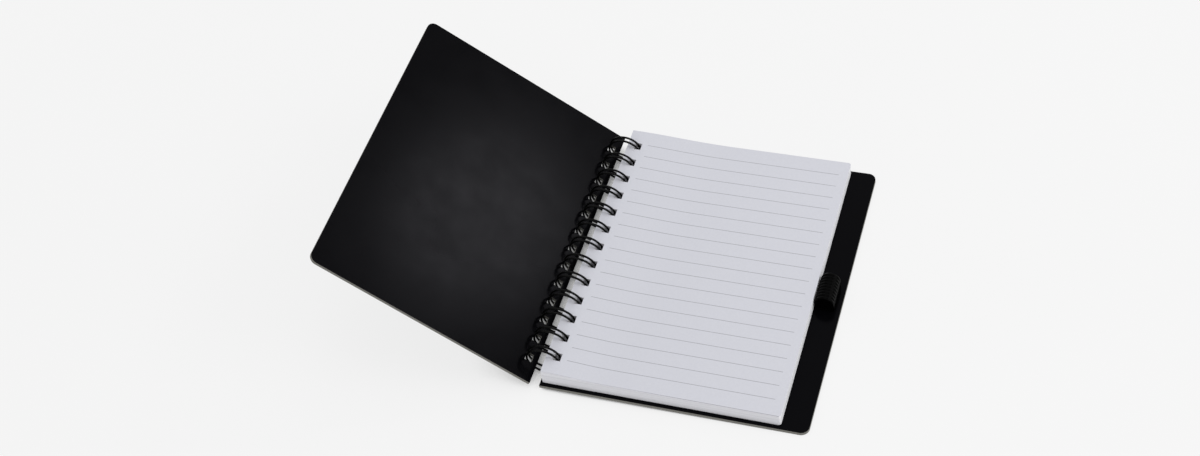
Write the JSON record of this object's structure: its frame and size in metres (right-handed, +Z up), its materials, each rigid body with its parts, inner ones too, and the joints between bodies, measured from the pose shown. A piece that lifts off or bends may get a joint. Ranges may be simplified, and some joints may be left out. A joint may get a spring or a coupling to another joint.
{
  "type": "wire-bound notebook",
  "caption": "Ruled notebook bound with a double-loop wire, stiff black covers that turn on the wire, and an elastic pen loop beside the pages",
  "frame": {"origin": "under the middle of the whole opened notebook, level with the lowest point of the rings", "axes": "+X from the spine to the fore-edge of the back cover, +Y along the spine to the top of the page, +Z up out of the pages"},
  "size_m": [0.2568, 0.179, 0.0839],
  "materials": {
    "cover_board": "matte",
    "pages": "matte",
    "wire": "gloss",
    "elastic": "ribbed matte"
  },
  "bodies": {
    "base": {"back_cover": "cover_board", "binding_wire": "wire", "pen_loop": "elastic"},
    "pages": {"page_block": "pages"},
    "front": {"front_cover": "cover_board"}
  },
  "joints": [
    {"name": "page_turn", "type": "hinge", "parent": "base", "child": "pages", "pos_m": [-0.01604, 0, 0.00971], "axis": [0, -1, 0], "range_deg": [0, 10]},
    {"name": "front_cover_turn", "type": "hinge", "parent": "pages", "child": "front", "pos_m": [-0.01604, 0, 0.00971], "axis": [0, -1, 0], "range_deg": [-144, 36]}
  ]
}
